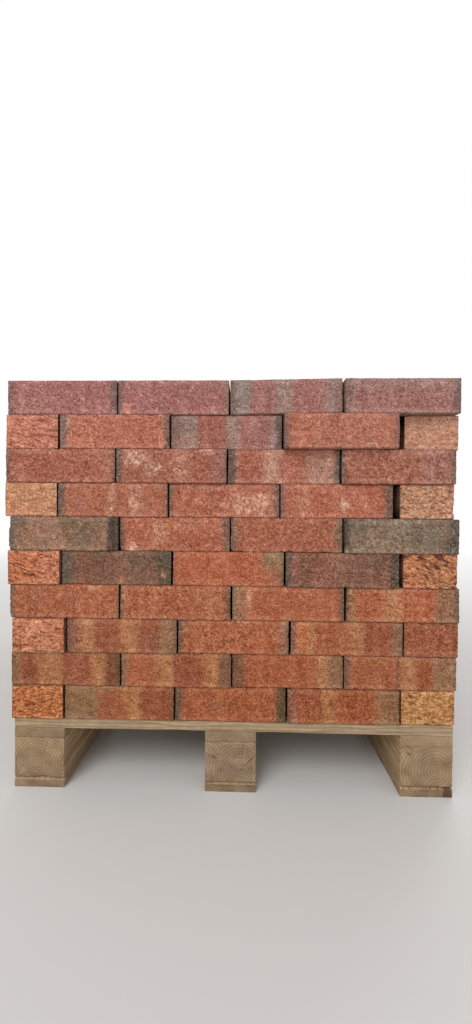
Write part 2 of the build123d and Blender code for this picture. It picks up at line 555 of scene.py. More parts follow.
def seen_sides(brick, reach, top):
    """The sides of a brick that lie on the outside of its course, as a set of side numbers."""
    low, high = brick.centre - brick.size / 2, brick.centre + brick.size / 2
    seen = {5} if top else set()
    for axis in (0, 1):
        if low[axis] < reach[0][axis] + EDGE_REACH:
            seen.add(2 * axis)
        if high[axis] > reach[1][axis] - EDGE_REACH:
            seen.add(2 * axis + 1)
    return seen


def squared_lines(length, centres):
    """Grid lines along a bed, with a number of even cells over the square round each hole's centre, so that
    rings of one size fit in it."""
    spans = [(centre - HOLE_SQUARE, centre + HOLE_SQUARE) for centre in centres]
    lines = grid_lines(length, BED_STEP, through=np.ravel(spans))
    for start, end in spans:
        outside = lines[(lines < start - TOUCH) | (lines > end + TOUCH)]
        lines = np.sort(np.concatenate([outside, np.linspace(start, end, HOLE_STEPS + 1)]))
    return lines


def brick_skin(brick, seen, top):
    """The skin of one brick, gridded by what is seen of it. A step is wide where no seen side needs it."""
    if 2 in seen:
        step = COARSE_STEP if is_header(brick) else FRONT_STEP
        steps = [step, OTHER_STEP if seen & {0, 1} else NO_STEP, step]
    else:
        needed_by = ({2, 3, 5}, {0, 1, 5}, {0, 1, 2, 3})
        steps = [OTHER_STEP if seen & sides else NO_STEP for sides in needed_by]
    if top:
        lines = [squared_lines(brick.size[0], HOLES), squared_lines(brick.size[1], (0.0,)),
                 grid_lines(brick.size[2], steps[2])]
        return box_skin(lines, set(range(4)) - seen, HOLES)
    lines = []
    for axis in range(3):
        ends = 2 * axis, 2 * axis + 1
        fine = [end in seen or bool(seen - set(ends)) for end in ends]
        lines.append(grid_lines(brick.size[axis], steps[axis], *fine))
    return box_skin(lines, set(range(6)) - seen if seen else ())


skins = {}
for number, bricks in bricks_of.items():
    lows = np.array([brick.centre - brick.size / 2 for brick in bricks])
    highs = np.array([brick.centre + brick.size / 2 for brick in bricks])
    reach = lows.min(axis=0), highs.max(axis=0)
    top = number == TOP_COURSE
    seen_of = [seen_sides(brick, reach, top) for brick in bricks]
    skins[number] = [(brick, seen, brick_skin(brick, seen, top)) for brick, seen in zip(bricks, seen_of)]
print("brick triangles:", sum(len(skin.loops) - 2 * len(skin.starts)
                              for group in skins.values() for _, _, skin in group))

# %% [markdown]
# ## Wear and relief
# The wear radius changes along an arris, with a chip here and there. Everything else goes inwards from
# there, so no brick grows past its real size. Beds that touch another brick stay flat in the plane of the
# joint. A dragged stretcher face has a fine, sandy tear. A header shows the coarse tear of the wire: short
# creases, almost level, where the peaks of long flat noise sink into the face.

# %% Wear and relief
WEAR_LEAST, WEAR_MOST, CHIP_DEPTH = 1.0, 2.4, 4.5
WEAR, CHIPS = Noise(22.0, 11), Noise(16.0, 12, 2, 0.72, 0.88)
SAND_DEPTH, COARSE_SAND_DEPTH, PIT_DEPTH, BOW_DEPTH, PROUD, BED_DEPTH = 0.7, 0.35, 1.0, 0.7, 0.6, 0.5
SAND, COARSE_SAND, PITS = Noise(3.4, 31), Noise(8.0, 32), Noise(4.6, 33, 1, 0.72, 0.95)
BOW, BED_TEAR = Noise(70.0, 34), Noise(5.0, 36)
CREASE_DEPTH, SHORT_CREASE, CREASE_BEND = 2.8, 0.7, 7.5
BEND, TORN_PATCH = Noise(11.0, 21), Noise(24.0, 24, 1, 0.2, 0.6)
LONG_DASH, SHORT_DASH = Noise((15.0, 15.0, 2.8), 22, 1, 0.6, 0.82), Noise((8.0, 8.0, 2.2), 23, 1, 0.68, 0.86)
LUMP_DEPTH, LUMP_MIDDLE, LUMPS = 2.4, 0.3, Noise((7.0, 7.0, 5.0), 35, 2)


def clay_wear(place):
    """The radius of the wear in millimetres: it changes slowly along an arris and leaps up at a chip."""
    return WEAR_LEAST + (WEAR_MOST - WEAR_LEAST) * noise(place, WEAR) + CHIP_DEPTH * noise(place, CHIPS)


def inside(points, half, radius):
    """The nearest point to each in a box that is smaller by the wear radius on every side."""
    return np.clip(points, radius[:, None] - half, half - radius[:, None])


def worn(points, half, radius, perforated=False):
    """Rounds a box. Each point moves to the smaller box, and leaves it again by the wear radius along its
    own way out. Returns the points and those ways, which are the normals. A point on the wall of a
    perforation stays, and its way points to the hole's own axis."""
    inner = inside(points, half, radius)
    way = points - inner
    axis_x = HOLE_PITCH * np.clip(np.round(points[:, 0] / HOLE_PITCH), -1, 1)
    spoke = np.column_stack([points[:, 0] - axis_x, points[:, 1], np.zeros(len(points))])
    wall = perforated & (np.linalg.norm(spoke, axis=1) < HOLE_RADIUS + RIM_WEAR / 2)
    way[wall] = -spoke[wall]
    way /= np.linalg.norm(way, axis=1, keepdims=True)
    return np.where(wall[:, None], points, inner + way * radius[:, None]), way


def seated(shaped, flat, half, radius, in_view, open_top):
    """Lays each bed that carries a brick, or rests on one, in the plane of the joint, so that the courses
    touch and no light passes between them. The bed starts where the worn arris ends, at the wear radius
    from the sides. A brick that no one sees keeps its sides and only gets the height."""
    bed = (np.abs(flat[:, 2]) > half[:, 2] - TOUCH) & ~(open_top & (flat[:, 2] > 0))
    moved = bed & in_view
    shaped[moved, :2] = inside(flat, half, radius)[moved, :2]
    shaped[bed, 2] = flat[bed, 2]


def creases(place, slope):
    """How deep the wire tore the clay, from 0 to 1: the peaks of noise whose cells are four to five times
    as long as they are high, sheared by the slope and bent by wider noise, so that each is a short dash."""
    level = place[:, 2] + slope * (place[:, 0] + place[:, 1]) + CREASE_BEND * swing(place, BEND)
    flat = np.column_stack([place[:, 0], place[:, 1], level])
    long_dash = noise(flat, LONG_DASH) * noise(place, TORN_PATCH)
    return np.maximum(long_dash, SHORT_CREASE * noise(flat, SHORT_DASH))


def relief(place, way, coarse, slope):
    """The depth of each point under the skin in millimetres: sand, pits and a slow bow on all upright
    faces, with creases and lumps where the face is coarse, and a shallow tear on the beds."""
    upright = 1.0 - way[:, 2] ** 2
    tear, lump = creases(place, slope), noise(place, LUMPS)
    depth = SAND_DEPTH * noise(place, SAND) + COARSE_SAND_DEPTH * noise(place, COARSE_SAND)
    depth += PIT_DEPTH * noise(place, PITS) + BOW_DEPTH * noise(place, BOW) - PROUD
    depth += coarse * (CREASE_DEPTH * tear + LUMP_DEPTH * (lump - LUMP_MIDDLE))
    return upright * depth + (1.0 - upright) * BED_DEPTH * noise(place, BED_TEAR), tear, lump


# %% [markdown]
# ## The colours of the fire
# Where bricks touched in the kiln the face is paler or darker, which leaves upright bands. Ends are often
# burnt to plum, blue-grey or olive, and here and there sits a lime bloom. Each face is written as its bands
# from left to right, each with the share of the length where it ends, and its spots, each with a place, two
# radii, a colour and a strength. Edges of bands and spots are bent by noise.

# %% Clay colours
ORANGE_RED = (174, 97, 68)
RED = (160, 90, 64)
DEEP_RED = (148, 82, 60)
ORANGE = (200, 122, 82)
OCHRE = (198, 142, 100)
BUFF = (176, 120, 86)
PALE_BUFF = (178, 130, 106)
PLUM = (148, 94, 82)
ROSE = (154, 94, 83)
PURPLE_GREY = (120, 92, 80)
BLUE_GREY = (90, 78, 68)
GREY_BUFF = (148, 111, 87)
GREY_BROWN = (138, 108, 84)
BROWN = (124, 84, 66)
UMBER = (112, 66, 44)
GREY_GREEN = (96, 80, 64)
DARK_GREEN = (72, 64, 50)
DARK = (46, 42, 38)
# The near-black of the painted shade deep in the joints and inside the pack.
JOINT_SHADE = (22, 18, 16)
PINK = (204, 128, 98)
PALE = (192, 150, 124)
HAZE_GREY = (142, 123, 109)
ASH = (128, 131, 118)
LICHEN = (140, 128, 92)
CREAM = (214, 178, 150)
WHITE = (232, 216, 200)
# Dark brown of the painted shade in the creases and fine tears of coarse ends.
CREASE_SHADE = (82, 44, 32)
# Bright orange of the painted highlight on the ridges of coarse ends.
RIDGE_HIGHLIGHT = (226, 156, 116)
RIM_GREY = (102, 82, 70)
# A pale pink haze of painted light over the upper courses, and painted shade that makes the lower courses
# darker and warmer.
PAINTED_HAZE = (206, 166, 160)
PAINTED_HAZE_MOST = 0.2
LOW_SHADE, HIGH_SHADE = np.array([0.98, 0.965, 0.865]), np.array([1.01, 0.965, 0.995])

Face = namedtuple("Face", "bands spots coarse slope")


def face(*bands, spots=(), coarse=0.0, slope=0.0):
    """One brick face: its bands, its spots, how coarse it is, and how far its creases slope."""
    return Face(bands, spots, coarse, slope)


# %% [markdown]
# ## The faces in front, course by course
# These lists follow the pack from the top course to the bottom one, each from left to right. A course
# with five entries starts and ends with a header.

# %% Faces in front
FRONT_FACES = {
    10: [
        face((BLUE_GREY, .03), (ROSE, .95), (BLUE_GREY, 1),
             spots=[(.2, .25, .12, .3, PALE, .3), (.68, .2, .03, .1, PALE, .6),
                    (.92, .5, .03, .4, PALE, .3)]),
        face((BLUE_GREY, .03), (ROSE, .95), (GREY_BUFF, 1),
             spots=[(.08, .15, .05, .2, PINK, .8), (.87, .15, .04, .14, PALE, .8),
                    (.5, 1, .6, .17, GREY_BUFF, .5)]),
        face((GREY_GREEN, .05), (HAZE_GREY, .18), (PLUM, .41), (HAZE_GREY, .56), (PLUM, .84),
             (HAZE_GREY, 1),
             spots=[(.12, .5, .08, .8, ASH, .7)]),
        face((PURPLE_GREY, .05), (HAZE_GREY, .09), (PLUM, .95), (BLUE_GREY, 1),
             spots=[(.5, .5, .6, .9, HAZE_GREY, .2), (.5, 1, .6, .3, HAZE_GREY, .9),
                    (.5, 0, .6, .12, HAZE_GREY, .7)]),
    ],
    9: [
        face((PINK, 1), coarse=.65, slope=.15, spots=[(.15, .3, .2, .5, ORANGE, .5)]),
        face((PURPLE_GREY, .07), (ORANGE_RED, .97), (DARK, 1),
             spots=[(.09, .75, .03, .12, PALE, .8), (.2, .25, .1, .25, ORANGE, .6),
                    (.9, .5, .05, .4, PALE, .3)]),
        face((PURPLE_GREY, .1), (HAZE_GREY, .26), (DEEP_RED, .5), (HAZE_GREY, .62), (PLUM, .88),
             (HAZE_GREY, .93), (BLUE_GREY, 1),
             spots=[(.12, .2, .1, .2, ORANGE, .4)]),
        face((BLUE_GREY, .03), (ORANGE_RED, .96), (PLUM, 1),
             spots=[(.17, .5, .07, .4, ORANGE, .6), (.55, .5, .45, .8, PALE, .3)]),
        face((OCHRE, 1), coarse=.3,
             spots=[(.2, .8, .25, .22, GREY_BUFF, .6), (.7, .3, .3, .3, PINK, .5),
                    (.5, .5, .7, .9, PALE, .7)]),
    ],
    8: [
        face((PURPLE_GREY, .03), (RED, 1),
             spots=[(.93, .5, .04, .4, BUFF, .6), (.5, .4, .2, .3, DEEP_RED, .6)]),
        face((BLUE_GREY, .05), (RED, .88), (PLUM, 1),
             spots=[(.18, .74, .12, .24, CREAM, .9), (.33, .42, .08, .26, CREAM, .9),
                    (.59, .5, .08, .6, CREAM, .45), (.84, .95, .06, .12, CREAM, .9)]),
        face((DARK_GREEN, .06), (PALE_BUFF, .1), (RED, .32), (PALE_BUFF, .5), (RED, .7), (PALE_BUFF, .95),
             (BLUE_GREY, 1),
             spots=[(.9, .7, .013, .05, WHITE, 1), (.8, .5, .12, .4, HAZE_GREY, .6),
                    (.41, .4, .05, .3, CREAM, .4)]),
        face((BLUE_GREY, .02), (RED, .7), (PLUM, .96), (BLUE_GREY, 1),
             spots=[(.015, .7, .018, .07, WHITE, 1), (.5, 1, .6, .13, GREY_BUFF, .6),
                    (.4, .5, .35, .8, PALE, .2), (.84, .5, .14, .8, PALE, .3)]),
    ],
    7: [
        face((OCHRE, 1), coarse=.3, spots=[(.2, .15, .25, .16, PINK, .6), (.65, .5, .06, .8, BUFF, .5)]),
        face((BLUE_GREY, .06), (ORANGE_RED, 1),
             spots=[(.5, .5, .6, .9, PALE, .1), (.2, .5, .06, .3, PLUM, .7), (.5, .5, .04, .5, CREAM, .5),
                    (.7, .5, .06, .6, CREAM, .6)]),
        face((PURPLE_GREY, .04), (ORANGE_RED, .95), (PURPLE_GREY, 1),
             spots=[(.74, .42, .22, .36, CREAM, .7), (.35, .85, .1, .1, CREAM, .4)]),
        face((PLUM, .06), (ORANGE_RED, .93), (GREY_GREEN, 1),
             spots=[(.5, .5, .6, .9, PALE, .1), (.2, .5, .06, .5, CREAM, .5),
                    (.57, .4, .06, .2, CREAM, 1), (.75, .4, .05, .2, CREAM, .4)]),
        face((OCHRE, 1), coarse=.6, spots=[(.8, .15, .25, .16, PINK, .6), (.5, .5, .7, .9, PALE, .7)]),
    ],
    6: [
        face((BLUE_GREY, .05), (GREY_BROWN, .915), (DARK, 1),
             spots=[(.4, .5, .5, .9, PALE, .16), (.33, .8, .08, .3, PLUM, .7),
                    (.45, .3, .12, .3, BUFF, .5), (.66, .55, .13, .45, DARK_GREEN, .45),
                    (.2, .3, .1, .3, BUFF, .45), (.1, .9, .06, .2, BLUE_GREY, .7),
                    (.85, .35, .08, .3, BUFF, .4), (.53, .85, .06, .2, DARK_GREEN, .6),
                    (.97, .5, .045, .9, DARK, .9)]),
        face((PURPLE_GREY, .04), (ORANGE_RED, .94), (PURPLE_GREY, 1),
             spots=[(.13, .1, .05, .16, CREAM, .9), (.35, .5, .07, .4, CREAM, .5),
                    (.6, .8, .2, .2, CREAM, .3)]),
        face((PURPLE_GREY, .07), (RED, .93), (GREY_BROWN, 1), spots=[(.3, .6, .3, .5, ORANGE_RED, .6)]),
        face((DARK, .05), (GREY_BROWN, .9), (DARK, 1),
             spots=[(.02, .08, .02, .08, WHITE, 1), (.32, .35, .14, .4, BUFF, .6),
                    (.68, .6, .2, .5, GREY_GREEN, .6), (.12, .8, .1, .3, DARK_GREEN, .6),
                    (.55, .15, .1, .2, BUFF, .4), (.85, .3, .08, .3, DARK_GREEN, .5),
                    (.45, .5, .45, .9, ASH, .6), (.96, .5, .05, .9, ASH, .65)]),
    ],
    5: [
        face((ORANGE, .6), (PINK, 1), coarse=.85, slope=.3),
        face((BLUE_GREY, .1), (BROWN, .88), (DARK_GREEN, 1),
             spots=[(.55, .15, .04, .1, ORANGE, .8), (.93, .28, .03, .16, BUFF, .9),
                    (.22, .5, .06, .6, RED, .4), (.5, .6, .12, .4, PLUM, .4),
                    (.7, .8, .12, .3, DARK_GREEN, .5), (.35, .9, .1, .2, DARK_GREEN, .5)]),
        face((ORANGE_RED, 1),
             spots=[(.92, .8, .15, .7, GREY_BUFF, 1), (.95, .8, .1, .5, LICHEN, 1),
                    (.97, .1, .1, .25, PLUM, .7)]),
        face((BLUE_GREY, .05), (PLUM, .12), (BROWN, .93), (DARK_GREEN, 1),
             spots=[(.35, .5, .1, .5, RED, .4), (.62, .4, .12, .4, PURPLE_GREY, .5),
                    (.8, .8, .1, .3, DARK_GREEN, .5), (.5, .85, .1, .2, BUFF, .3),
                    (.97, .5, .04, .9, DARK, .4)]),
        face((ORANGE, 1), coarse=1, slope=.42,
             spots=[(.7, .4, .4, .5, PURPLE_GREY, .35), (.5, .5, .7, .9, OCHRE, .6)]),
    ],
    4: [
        face((BROWN, .05), (ORANGE_RED, 1),
             spots=[(.5, .5, .6, .9, BUFF, .3), (.22, .5, .08, .6, BROWN, .4),
                    (.55, .5, .1, .3, PLUM, .4), (.75, .9, .03, .08, CREAM, .7)]),
        face((GREY_BROWN, .02), (ORANGE_RED, .95), (BROWN, 1),
             spots=[(.5, .5, .6, .9, DEEP_RED, .35), (.8, .5, .1, .5, BUFF, .4)]),
        face((GREY_BUFF, .1), (ORANGE_RED, .96), (BROWN, 1),
             spots=[(.16, .7, .03, .25, CREAM, .8), (.6, .75, .01, .05, CREAM, .9),
                    (.43, .35, .01, .05, CREAM, .9), (.06, .5, .06, .8, BUFF, .5)]),
        face((GREY_GREEN, .02), (BUFF, .1), (ORANGE_RED, .33), (BUFF, .47), (ORANGE_RED, .78),
             (GREY_BUFF, .95), (PURPLE_GREY, 1),
             spots=[(.4, .5, .08, .8, OCHRE, .4)]),
    ],
    3: [
        face((PINK, 1), coarse=.7, slope=.15, spots=[(.5, .5, .6, .9, CREAM, .2)]),
        face((BROWN, .03), (PLUM, .1), (BUFF, .25), (DEEP_RED, .48), (BUFF, .66), (DEEP_RED, .85),
             (GREY_BUFF, 1),
             spots=[(.77, .25, .06, .4, PURPLE_GREY, .6)]),
        face((PURPLE_GREY, .04), (ORANGE_RED, .93), (GREY_BUFF, 1),
             spots=[(.32, .4, .03, .16, BUFF, .7), (.06, .75, .02, .08, CREAM, .7),
                    (.97, .95, .03, .06, WHITE, .8), (.5, .5, .45, .6, ORANGE, .35)]),
        face((PLUM, .07), (ORANGE, .15), (BUFF, .24), (RED, .52), (BUFF, .64), (DEEP_RED, .9),
             (GREY_BUFF, 1)),
        face((RED, 1), coarse=.35, spots=[(.5, .5, .7, .9, GREY_BUFF, .15), (.5, 1, .6, .12, BROWN, .7)]),
    ],
    2: [
        face((GREY_BUFF, .08), (DEEP_RED, .27), (BUFF, .48), (DEEP_RED, .75), (BUFF, .87), (UMBER, 1),
             spots=[(.62, .85, .1, .2, PLUM, .7)]),
        face((GREY_BUFF, .06), (ORANGE_RED, .3), (BUFF, .49), (DEEP_RED, .75), (BUFF, .88), (BROWN, 1),
             spots=[(.49, .75, .006, .25, DARK, .9)]),
        face((BROWN, .1), (ORANGE_RED, .75), (BUFF, .85), (GREY_BUFF, 1)),
        face((PLUM, .08), (ORANGE_RED, .5), (BUFF, .65), (RED, .78), (GREY_BUFF, 1),
             spots=[(.3, .5, .35, .9, GREY_BROWN, .25), (.485, .5, .015, .5, BLUE_GREY, .7)]),
    ],
    1: [
        face((ORANGE, 1), coarse=.9),
        face((GREY_BUFF, .3), (RED, .55), (BUFF, .7), (DEEP_RED, 1),
             spots=[(.3, 1, .3, .2, GREY_BUFF, .9)]),
        face((PURPLE_GREY, .06), (ORANGE_RED, .92), (GREY_GREEN, 1), spots=[(.4, .6, .05, .2, BUFF, .6)]),
        face((PLUM, .08), (RED, .3), (BUFF, .44), (RED, .8), (GREY_BUFF, 1)),
        face((OCHRE, 1), coarse=.6, slope=.1),
    ],
}

# %% [markdown]
# ## The faces at the sides and the back
# The other faces come from the same fire, so they are drawn from the same few patterns: a plain burn, a
# burn with pale bands, and a dark one. The draw is seeded by the brick, so it never changes.

# %% Faces elsewhere
BODY_TONES = (ORANGE_RED, ORANGE_RED, RED, DEEP_RED, PLUM, ORANGE_RED, RED)
END_TONES = (PURPLE_GREY, BLUE_GREY, GREY_GREEN, GREY_BUFF, PLUM, DARK)
HEADER_TONES = (ORANGE, OCHRE, PINK, ORANGE, BUFF, RED)
SPOT_TONES = (BUFF, CREAM, PLUM, ORANGE)
PALE_BANDED, DARK_BURNT, GREY_BURNT = 0.33, 0.87, 0.93
LEFT_END, RIGHT_END, PALE_LEFT, PALE_RIGHT = (.03, .1), (.88, .97), (.2, .3), (.58, .68)
PALE_LEFT_WIDTH, PALE_RIGHT_WIDTH = 0.14, 0.13
SPOT_COUNT, SPOT_WIDE, SPOT_HIGH, SPOT_STRENGTH = 3, (.02, .12), (.06, .3), (.4, .8)
HEADER_COARSE, HEADER_SLOPE, ARRIS_COARSE = (0.5, 1.0), (-0.1, 0.4), 0.4
END_SEED = 500


def drawn_face(seed, header):
    """A face for a brick that has none written: a third have pale bands, one in eight is dark."""
    draw = np.random.default_rng(seed)
    ends = [END_TONES[i] for i in draw.integers(len(END_TONES), size=2)]
    if header:
        tone = HEADER_TONES[draw.integers(len(HEADER_TONES))]
        return face((tone, 1), coarse=draw.uniform(*HEADER_COARSE), slope=draw.uniform(*HEADER_SLOPE))
    body = BODY_TONES[draw.integers(len(BODY_TONES))]
    kind = draw.random()
    spots = [(draw.random(), draw.random(), draw.uniform(*SPOT_WIDE), draw.uniform(*SPOT_HIGH),
              SPOT_TONES[draw.integers(len(SPOT_TONES))], draw.uniform(*SPOT_STRENGTH))
             for _ in range(SPOT_COUNT)]
    left, right = draw.uniform(*LEFT_END), draw.uniform(*RIGHT_END)
    if kind < PALE_BANDED:
        a, b = draw.uniform(*PALE_LEFT), draw.uniform(*PALE_RIGHT)
        bands = ((ends[0], left), (body, a), (BUFF, a + PALE_LEFT_WIDTH), (DEEP_RED, b),
                 (BUFF, b + PALE_RIGHT_WIDTH), (body, right), (ends[1], 1))
    elif kind > DARK_BURNT:
        bands = ((DARK, left), (GREY_BROWN if kind > GREY_BURNT else BROWN, right), (GREY_GREEN, 1))
    else:
        bands = ((ends[0], left), (body, right), (ends[1], 1))
    return face(*bands, spots=spots)


def faces_for(number, index, brick):
    """The long face and the end face of a brick: the written one if it stands in front, drawn ones if not."""
    long_face, end_face = drawn_face(brick.seed, False), drawn_face(brick.seed + END_SEED, True)
    if index < len(FRONT_FACES[number]):
        written = FRONT_FACES[number][index]
        if is_header(brick):
            end_face = written
        else:
            long_face, end_face = written, face((written.bands[0][0], 1), coarse=ARRIS_COARSE)
    return long_face, end_face


# %% [markdown]
# ## Painting a brick
# Every point gets two colours: the one that its long faces have at that share of the length, and the one
# of the two ends. The square of the normal along the brick says which is seen, and so the two run into
# each other round an arris. Mottling, streaks and grain make the colour lighter or darker by the same step
# in red, green and blue, which keeps its hue. A band along the beds of each face is painted a little
# lighter, as painted light against the shade of the joint. Coarse ends get a painted highlight on their
# ridges and painted shade in their creases. The lower courses are painted darker, as shade, and a pale haze
# of painted light lies thicker on the upper courses. Points deep in a joint are painted nearly black, as
# shade.

# %% Paint
BAND_SOFT, FLECK_SHIFT, FLECK_SHARE, SPOT_SHARE, SPOT_EDGE = 0.04, 0.02, 0.3, 0.8, (-1.5, -0.3)
WANDER_REACH, RAGGED_REACH = 0.06, 1.7
WANDER, RAGGED = Noise((14.0, 14.0, 40.0), 41, 3), Noise(8.0, 42, 3)
FLECKS = Noise(3.6, 43, 1, 0.35, 0.62)
EYE_WEIGHTS = (0.3, 0.59, 0.11)
MOTTLE_STEP, STREAK_STEP, GRAIN_STEP, COARSE_GRAIN_STEP = 0.29, 0.26, 0.24, 0.3
MOTTLING, STREAKS = Noise((12.0, 12.0, 8.0), 51, 3), Noise((11.0, 11.0, 60.0), 58, 3)
GRAIN = Noise((4.2, 4.2, 2.6), 52)
RIM_REACH, RIM_MOST, RIM_COARSE, RIM_PATCHES = 9.0, 0.22, 0.7, Noise(14.0, 55, 2)
# Painted light along the beds: how much lighter, and the distances from the bed over which it rises and
# falls.
BED_LIGHT, BED_LIGHT_FROM, BED_LIGHT_TO = 0.12, (0.5, 3.0), (5.0, 12.0)
END_GREY, END_BURN, BURN_FROM, BURN_REACH, BURNS = (100, 82, 68), 0.38, 0.86, 0.1, Noise(16.0, 57, 2)
# Painted highlight on the ridges: how strong it is, and over which fall of the lump noise it comes in.
RIDGE_HIGHLIGHT_MOST, RIDGE_HIGHLIGHT_FROM, RIDGE_HIGHLIGHT_TO = 0.35, 0.5, 0.72
SPECK_STEP, SPECK_COARSE, SPECK_LOWEST = 62.0, 0.6, 0.35
SPECKS, SPECK_FIELDS, FIELD_LEAST, FIELD_MORE = Noise(4.4, 54, 1, 0.7, 0.88), Noise(40.0, 56), 0.3, 0.5
# How dark the painted shade in the creases gets.
CREASE_SHADE_MOST = 0.85
# Painted shade of the joints: how deep it reaches, where it starts and how dark it gets.
GLOOM_REACH, GLOOM_START, GLOOM_MOST = 3.8, 0.4, 0.96


def laid(colour, tone, share):
    """Colours with a tone laid over them, by one share or by a share for each point."""
    return colour + np.asarray(share)[..., None] * (np.array(tone, float) - colour)


def banded(face_, s, t, wander, ragged, fleck):
    """The colour of a face at the shares s of its length and t of its height, both bent by noise. Each band
    takes over from the one before by a smooth step where that one ends."""
    bent = s + wander + FLECK_SHIFT * (fleck - 0.5)
    colour = np.tile(np.array(face_.bands[0][0], float), (len(s), 1))
    for (_, end), (tone, _) in zip(face_.bands, face_.bands[1:]):
        share = ramp(bent, end - BAND_SOFT, end + BAND_SOFT)
        colour = laid(colour, tone, share * (1 - FLECK_SHARE + FLECK_SHARE * fleck))
    for middle, level, wide, high, tone, strength in face_.spots:
        away = np.hypot((s - middle) / wide, (t - level) / high) + ragged
        share = strength * ramp(-away, *SPOT_EDGE)
        colour = laid(colour, tone, share * (1 - SPOT_SHARE + SPOT_SHARE * fleck))
    return colour


def rim_share(points, half):
    """How near a point is to an edge of its face, from 0 to 1. Of its distances to the three pairs of sides
    the least is near zero on any face, so the second least is the distance to the nearest edge."""
    second = np.sort(half - np.abs(points), axis=1)[:, 1]
    return 1.0 - ramp(second, 0.0, RIM_REACH)


def gloom_share(points, half, seen):
    """How deep a point lies in a joint, from 0 to 1, which is how much painted shade it gets: its distance
    from the nearest side that is seen.
    """
    depth = np.full(len(points), np.inf)
    for side in seen:
        axis, end = divmod(side, 2)
        depth = np.minimum(depth, half[axis] - (2 * end - 1) * points[:, axis])
    return ramp(depth, GLOOM_START, GLOOM_REACH)


def course_share(number):
    """How high a course lies, from 0 for the lowest to 1 for the top one."""
    return (number - 1) / (TOP_COURSE - 1)


def speck_share(number):
    """How strong the pale specks are: strongest on the top course, where the rain brought out the salts."""
    return SPECK_LOWEST + (1 - SPECK_LOWEST) * course_share(number)


def painted(brick, seen, points, place, endness, torn, faces, number):
    """The display colour of each point of a brick, from its two faces, the grain, the grey rims of its faces,
    painted light along its beds, the burn of its ends, specks, a painted highlight on the ridges and painted
    shade in the creases of coarse ends, painted shade and a haze of painted light by its course, and the
    painted shade of the joints."""
    half = brick.size / 2
    tear, lump, coarse = torn
    order = [1, 0, 2] if is_header(brick) else [0, 1, 2]
    s, e, t = (points[:, order] / half[order] + 1).T / 2
    uneven = WANDER_REACH * swing(place, WANDER), RAGGED_REACH * swing(place, RAGGED), noise(place, FLECKS)
    colour = banded(faces[0], s, t, *uneven)
    colour = colour + endness[:, None] * (banded(faces[1], e, t, *uneven) - colour)
    light = colour @ EYE_WEIGHTS
    grain = MOTTLE_STEP * swing(place, MOTTLING) + STREAK_STEP * (1 - coarse) * swing(place, STREAKS)
    grain += (GRAIN_STEP + COARSE_GRAIN_STEP * coarse) * swing(place, GRAIN)
    colour = colour + (light * grain)[:, None]
    rim = RIM_MOST * (1 - RIM_COARSE * coarse) * rim_share(points, half) * noise(place, RIM_PATCHES)
    colour = laid(colour, RIM_GREY, rim)
    # Painted light: a band from about half a millimetre to a centimetre from each bed is made lighter,
    # against the shade of the joint.
    level = half[2] - np.abs(points[:, 2])
    bed_light = ramp(level, *BED_LIGHT_FROM) * (1 - ramp(level, *BED_LIGHT_TO))
    colour = colour + (BED_LIGHT * light * bed_light)[:, None]
    burnt = ramp(np.abs(2 * s - 1) + BURN_REACH * swing(place, BURNS), BURN_FROM, 1.0)
    colour = laid(colour, END_GREY, END_BURN * burnt * (1 - endness) * (1 - coarse))
    # Painted highlight: where the lumps of a coarse end stand out furthest, the clay turns bright orange.
    colour = laid(colour, RIDGE_HIGHLIGHT, RIDGE_HIGHLIGHT_MOST * coarse * ramp(1 - lump, RIDGE_HIGHLIGHT_FROM, RIDGE_HIGHLIGHT_TO))
    speck = noise(place, SPECKS) * (FIELD_LEAST + FIELD_MORE * noise(place, SPECK_FIELDS))
    colour = colour + (SPECK_STEP * speck_share(number) * (1 - SPECK_COARSE * coarse) * speck)[:, None]
    # Painted shade: the creases that sink into a coarse end turn dark brown.
    colour = laid(colour, CREASE_SHADE, CREASE_SHADE_MOST * coarse * tear)
    # Painted shade and light by course: lower courses darker and warmer, then a pale haze of painted light
    # that grows towards the top.
    colour = colour * (LOW_SHADE + course_share(number) * (HIGH_SHADE - LOW_SHADE))
    colour = laid(colour, PAINTED_HAZE, PAINTED_HAZE_MOST * course_share(number))
    # Painted shade: points deep in a joint, and all of a brick that no one sees, go nearly black.
    return laid(colour, JOINT_SHADE, GLOOM_MOST * gloom_share(points, half, seen))


# %% [markdown]
# ## Unwrapping the bricks
# The skin's own grids make the best map for a baked picture: each side of a brick becomes a rectangle. The
# rectangles stand in rows like books on shelves, the tallest first, and the scale is halved in on until
# the last shelf just fits. A side that no one sees gets a much smaller rectangle.

# %% Shelves for the map
HIDDEN_SCALE = 0.1
GAP = 0.002
LARGEST_SCALE, HALVINGS = 0.1, 22
# The two axes of the rectangle of each side, and at the end those of the walls of the perforations.
MAP_AXES = ([1, 2], [1, 2], [0, 2], [0, 2], [0, 1], [0, 1], [0, 1])


def shelved(sizes):
    """Places rectangles in a unit square, row by row, and returns their low corners and the scale."""
    order = np.argsort(-sizes[:, 1], kind="stable")

    def laid_out(scale):
        corners = np.zeros_like(sizes)
        x = y = row = 0.0
        for i in order:
            wide, high = sizes[i] * scale + GAP
            if x + wide > 1.0:
                x, y, row = 0.0, y + row, 0.0
            corners[i] = x, y
            x, row = x + wide, max(row, high)
        return corners, y + row <= 1.0 and (sizes[:, 0] * scale + GAP).max() <= 1.0

    low, high = 0.0, LARGEST_SCALE
    for _ in range(HALVINGS):
        middle = (low + high) / 2
        low, high = (middle, high) if laid_out(middle)[1] else (low, middle)
    return laid_out(low)[0], low


